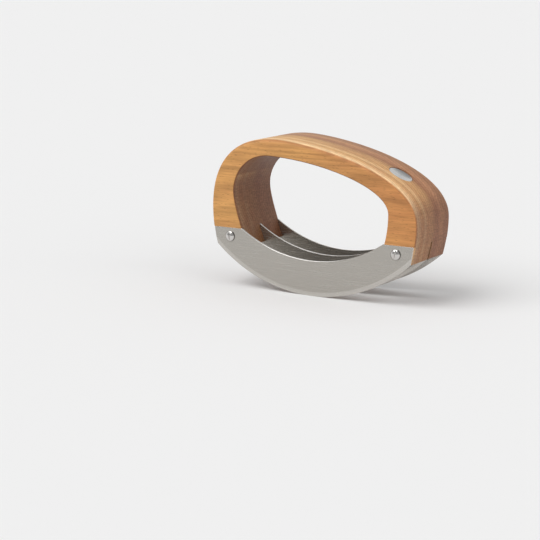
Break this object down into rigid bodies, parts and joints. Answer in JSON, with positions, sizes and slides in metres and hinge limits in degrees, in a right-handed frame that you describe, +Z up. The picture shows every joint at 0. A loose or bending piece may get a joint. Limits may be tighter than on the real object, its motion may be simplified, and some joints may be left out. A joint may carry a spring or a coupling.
{
  "type": "mezzaluna",
  "caption": "Rocking herb chopper: a wooden arch handle with parallel crescent steel blades held by binding screws through its legs.",
  "frame": {"origin": "below the middle of the handle, level with the lowest point of the cutting edges", "axes": "+X along the blades towards the leg below the inlaid disc, +Y from the front (screw side) to the back (sleeve nut side), +Z up from the edges to the crown"},
  "size_m": [0.166, 0.054, 0.109],
  "materials": {
    "handle_wood": "oiled hardwood, fine straight grain",
    "blade_steel": "satin ground along the blade, brighter bevels",
    "screw_steel": "bright turned domes",
    "disc_steel": "polished"
  },
  "bodies": {
    "root": {"handle": "handle_wood", "front_blade": "blade_steel", "middle_blade": "blade_steel", "back_blade": "blade_steel", "binding_screws": "screw_steel", "sleeve_nuts": "screw_steel", "inlaid_disc": "disc_steel"}
  },
  "joints": []
}
